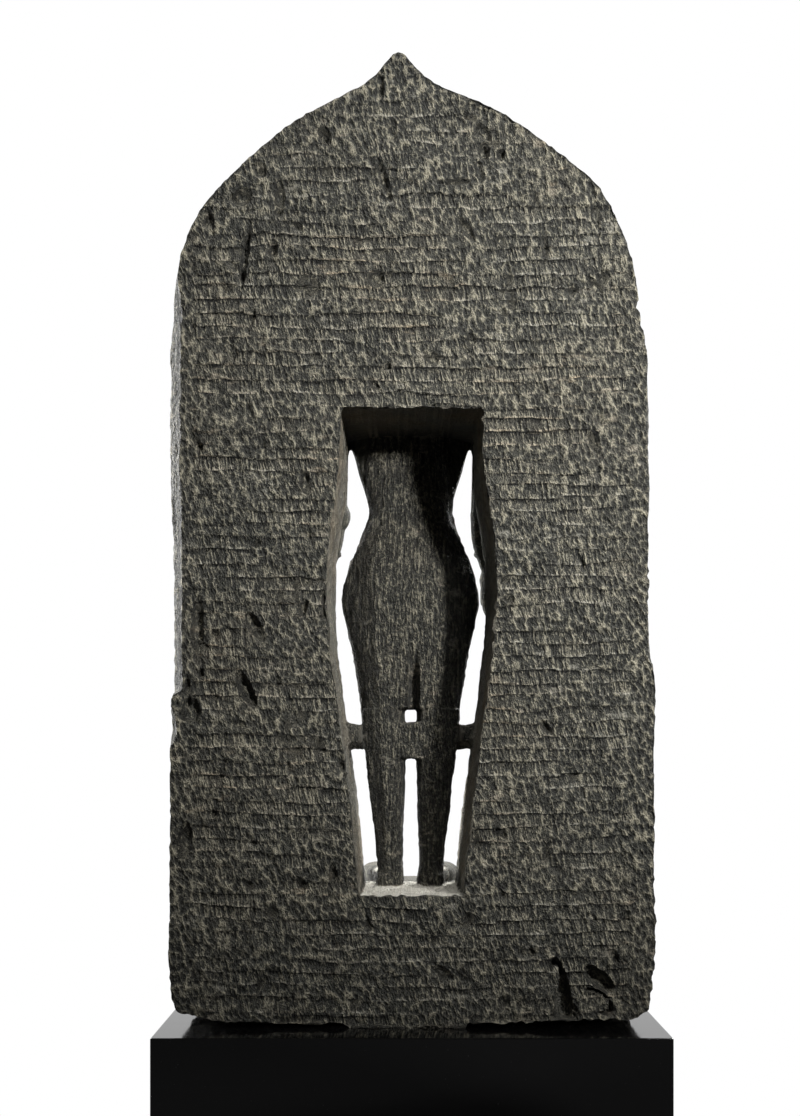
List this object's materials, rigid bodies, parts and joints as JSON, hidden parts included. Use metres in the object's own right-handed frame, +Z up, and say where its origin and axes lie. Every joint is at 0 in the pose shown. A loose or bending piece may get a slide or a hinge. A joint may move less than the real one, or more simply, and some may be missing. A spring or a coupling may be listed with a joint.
{
  "type": "carved stone stele",
  "caption": "Tall pointed-arch stone stele with a standing figure in high relief, an open window behind it and a rough chiselled back, tenoned into a polished black plinth.",
  "frame": {"origin": "centre of the plinth's underside", "axes": "+Z up; +Y towards the carved front; -Y towards the rough back that the picture shows; +X to the right in the picture"},
  "size_m": [0.57, 0.346, 1.2189],
  "materials": {
    "stone": "matte, dark grey-green, rough-chiselled, dusty in the tool marks",
    "polished_black_stone": "polished black with a few scuffs"
  },
  "bodies": {
    "root": {"stele": "stone", "plinth": "polished_black_stone"}
  },
  "joints": []
}
